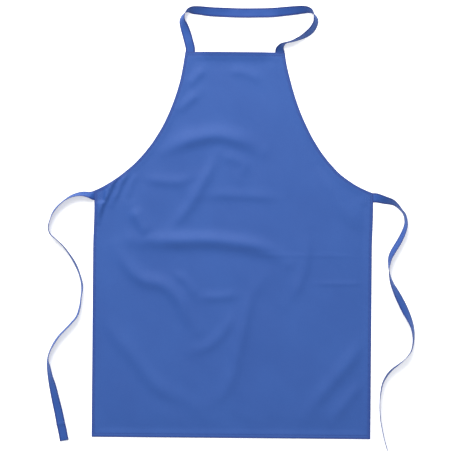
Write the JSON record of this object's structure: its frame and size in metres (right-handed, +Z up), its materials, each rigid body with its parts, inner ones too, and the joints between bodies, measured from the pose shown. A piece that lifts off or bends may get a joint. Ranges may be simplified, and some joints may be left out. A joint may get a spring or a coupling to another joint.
{
  "type": "bib apron",
  "caption": "Cloth bib apron laid out flat, with turned hems, a looped neck strap and waist ties that hang down beside the skirt.",
  "frame": {"origin": "middle of the footprint of the laid-out apron, strap and ties included, on the surface that it lies on", "axes": "+Y along the apron from its lower hem towards the neck, +X to the right as seen from the front, +Z up out of the front of the cloth"},
  "size_m": [0.859, 1.0338, 0.0224],
  "materials": {
    "apron_cloth": "matt royal blue cotton twill",
    "folded_tape": "the same twill, folded and stitched into tape",
    "sewing_thread": "matched polyester sewing thread"
  },
  "bodies": {
    "skirt": {"skirt_panel": "apron_cloth", "bottom_hem": "apron_cloth", "left_side_hem": "apron_cloth", "right_side_hem": "apron_cloth", "bottom_hem_seam": "sewing_thread", "left_side_seam": "sewing_thread", "right_side_seam": "sewing_thread", "left_waist_tie_sewn_end": "folded_tape", "right_waist_tie_sewn_end": "folded_tape", "left_waist_tie_box_tack": "sewing_thread", "right_waist_tie_box_tack": "sewing_thread"},
    "bib": {"bib_panel": "apron_cloth", "neck_edge_hem": "apron_cloth", "left_armhole_hem": "apron_cloth", "right_armhole_hem": "apron_cloth", "neck_edge_seam": "sewing_thread", "left_armhole_seam": "sewing_thread", "right_armhole_seam": "sewing_thread", "neck_strap_left_sewn_end": "folded_tape", "neck_strap_right_sewn_end": "folded_tape", "neck_strap_left_box_tack": "sewing_thread", "neck_strap_right_box_tack": "sewing_thread"},
    "neck_strap": {"neck_strap": "folded_tape", "neck_strap_left_edge_seam": "sewing_thread", "neck_strap_right_edge_seam": "sewing_thread"},
    "left_waist_tie": {"left_waist_tie": "folded_tape", "left_waist_tie_left_edge_seam": "sewing_thread", "left_waist_tie_right_edge_seam": "sewing_thread"},
    "right_waist_tie": {"right_waist_tie": "folded_tape", "right_waist_tie_left_edge_seam": "sewing_thread", "right_waist_tie_right_edge_seam": "sewing_thread"}
  },
  "joints": [
    {"name": "bib_fold", "type": "hinge", "parent": "skirt", "child": "bib", "pos_m": [0.00518, 0.08941, 0.016], "axis": [1, 0, 0], "range_deg": [0, 180]},
    {"name": "neck_strap_fold", "type": "hinge", "parent": "bib", "child": "neck_strap", "pos_m": [0.00518, 0.40841, 0.0135], "axis": [1, 0, 0], "range_deg": [0, 180]},
    {"name": "left_waist_tie_fold", "type": "hinge", "parent": "skirt", "child": "left_waist_tie", "pos_m": [-0.31982, 0.07141, 0.0135], "axis": [0, 1, 0], "range_deg": [0, 180]},
    {"name": "right_waist_tie_fold", "type": "hinge", "parent": "skirt", "child": "right_waist_tie", "pos_m": [0.33018, 0.07141, 0.0135], "axis": [0, -1, 0], "range_deg": [0, 180]}
  ]
}
